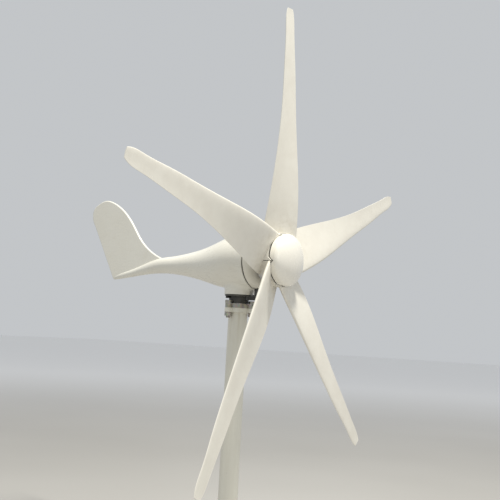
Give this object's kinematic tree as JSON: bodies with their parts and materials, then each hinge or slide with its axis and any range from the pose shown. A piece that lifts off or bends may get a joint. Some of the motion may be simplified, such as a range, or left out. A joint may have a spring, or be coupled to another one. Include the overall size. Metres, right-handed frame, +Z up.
{
  "type": "small wind turbine",
  "caption": "Small horizontal-axis wind turbine: slim twisted blades round a domed spinner, a rounded nacelle tapering to a tail fin, and a yaw neck bolted to a flanged mast tube.",
  "frame": {"origin": "centre of the mast tube's open lower end", "axes": "+Z up the mast tube, which is also the yaw axis; +X forward along the rotor axis, from the mast to the spinner's nose; +Y to the left of the nacelle as it faces forward"},
  "size_m": [0.7216, 1.2293, 1.4036],
  "materials": {
    "blade_plastic": "satin off-white moulded glass-filled nylon",
    "shell_plastic": "glossy off-white moulded plastic",
    "spinner_plastic": "glossy off-white moulded plastic",
    "housing_paint": "cast aluminium, glossy off-white paint",
    "mast_paint": "steel tube and flange, off-white paint",
    "dark_casting": "cast aluminium, dark grey coating",
    "black_steel": "steel screws, black oxide",
    "cast_hub": "machined cast aluminium",
    "zinc_steel": "zinc-plated steel",
    "bearing_steel": "ground bearing steel",
    "shaft_steel": "turned steel",
    "seal_rubber": "black nitrile rubber",
    "laminations": "stacked electrical steel",
    "copper_wire": "enamelled copper wire",
    "magnet_nickel": "nickel-plated magnets",
    "black_plastic": "black moulded plastic",
    "ring_brass": "turned brass",
    "carbon": "pressed carbon"
  },
  "bodies": {
    "mast": {"mast_tube": "mast_paint", "mast_flange": "mast_paint", "yaw_flange": "zinc_steel", "flange_bolts": "zinc_steel", "flange_washers": "zinc_steel", "flange_nuts": "zinc_steel", "yaw_spindle": "shaft_steel", "spindle_nut": "shaft_steel", "slip_ring_sleeve": "black_plastic", "slip_rings": "ring_brass", "yaw_lower_inner_race": "bearing_steel", "yaw_upper_inner_race": "bearing_steel"},
    "nacelle": {"nacelle_shell": "shell_plastic", "shell_screws": "zinc_steel", "generator_housing": "housing_paint", "rear_bearing_plate": "cast_hub", "tie_bolts": "black_steel", "tie_bolt_nuts": "zinc_steel", "stator_core": "laminations", "stator_windings": "copper_wire", "yaw_housing": "dark_casting", "neck_screws": "black_steel", "lug_screw": "black_steel", "yaw_seal": "seal_rubber", "yaw_lower_outer_race": "bearing_steel", "yaw_lower_balls": "bearing_steel", "yaw_upper_outer_race": "bearing_steel", "yaw_upper_balls": "bearing_steel", "brush_holder": "black_plastic", "brushes": "carbon", "front_bearing_outer_race": "bearing_steel", "front_bearing_balls": "bearing_steel", "rear_bearing_outer_race": "bearing_steel", "rear_bearing_balls": "bearing_steel", "shaft_seal": "seal_rubber", "housing_gasket": "seal_rubber"},
    "rotor": {"main_shaft": "shaft_steel", "front_bearing_inner_race": "bearing_steel", "rear_bearing_inner_race": "bearing_steel", "magnet_core": "shaft_steel", "magnets": "magnet_nickel", "hub_disc": "cast_hub", "hub_key": "shaft_steel", "clamp_plate": "dark_casting", "blade_bolts": "zinc_steel", "blade_nuts": "black_steel", "hub_washer": "zinc_steel", "hub_nut": "zinc_steel", "spinner": "spinner_plastic", "blade_1": "blade_plastic", "blade_2": "blade_plastic", "blade_3": "blade_plastic", "blade_4": "blade_plastic", "blade_5": "blade_plastic"}
  },
  "joints": [
    {"name": "yaw", "type": "hinge", "parent": "mast", "child": "nacelle", "pos_m": [0, 0, 0.76], "axis": [0, 0, 1], "continuous": true},
    {"name": "rotor_spin", "type": "hinge", "parent": "nacelle", "child": "rotor", "pos_m": [0.1, 0, 0.76], "axis": [1, 0, 0], "continuous": true}
  ]
}
